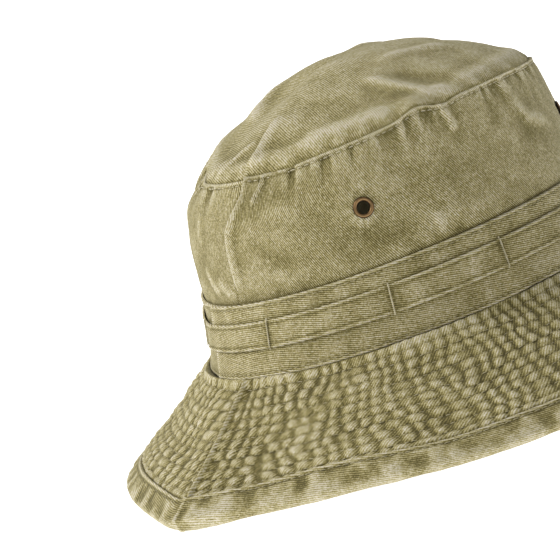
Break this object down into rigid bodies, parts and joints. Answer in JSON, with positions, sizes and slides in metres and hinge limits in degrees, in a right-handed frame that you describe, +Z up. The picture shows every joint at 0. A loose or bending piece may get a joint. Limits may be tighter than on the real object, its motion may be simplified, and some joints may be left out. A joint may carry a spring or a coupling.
{
  "type": "bucket hat",
  "caption": "Soft cotton twill sun hat with a domed oval crown, looped band, rolled eyelets and a sloping stitched brim bound at its edge.",
  "frame": {"origin": "middle of the hat's outline, on the plane that the brim's edge stands on", "axes": "+X to the wearer's front, +Y to the wearer's left, +Z up through the crown"},
  "size_m": [0.3197, 0.2768, 0.1498],
  "materials": {
    "crown": "matte",
    "band": "matte",
    "strip": "matte",
    "brim": "matte",
    "brim_under": "matte",
    "interlining": "matte",
    "binding": "matte",
    "tape": "matte",
    "sweatband": "matte",
    "thread": "matte",
    "label": "matte",
    "brass": "satin"
  },
  "bodies": {
    "root": {"bartack_01": "thread", "bartack_02": "thread", "bartack_03": "thread", "bartack_04": "thread", "bartack_05": "thread", "bartack_06": "thread", "bartack_07": "thread", "bartack_08": "thread", "bartack_09": "thread", "bartack_10": "thread", "bartack_11": "thread", "brim_binding": "binding", "brim_interlining": "interlining", "brim_top_left": "brim", "brim_top_right": "brim", "brim_under_left": "brim_under", "brim_under_right": "brim_under", "crown_side_left": "crown", "crown_side_right": "crown", "crown_tip": "crown", "eyelet_1": "brass", "eyelet_2": "brass", "eyelet_3": "brass", "eyelet_4": "brass", "eyelet_washer_1": "brass", "eyelet_washer_2": "brass", "eyelet_washer_3": "brass", "eyelet_washer_4": "brass", "hat_band": "band", "loop_strip": "strip", "side_seam_tape_back": "tape", "side_seam_tape_front": "tape", "size_label": "label", "sweatband": "sweatband", "tip_seam_tape": "tape"}
  },
  "joints": []
}
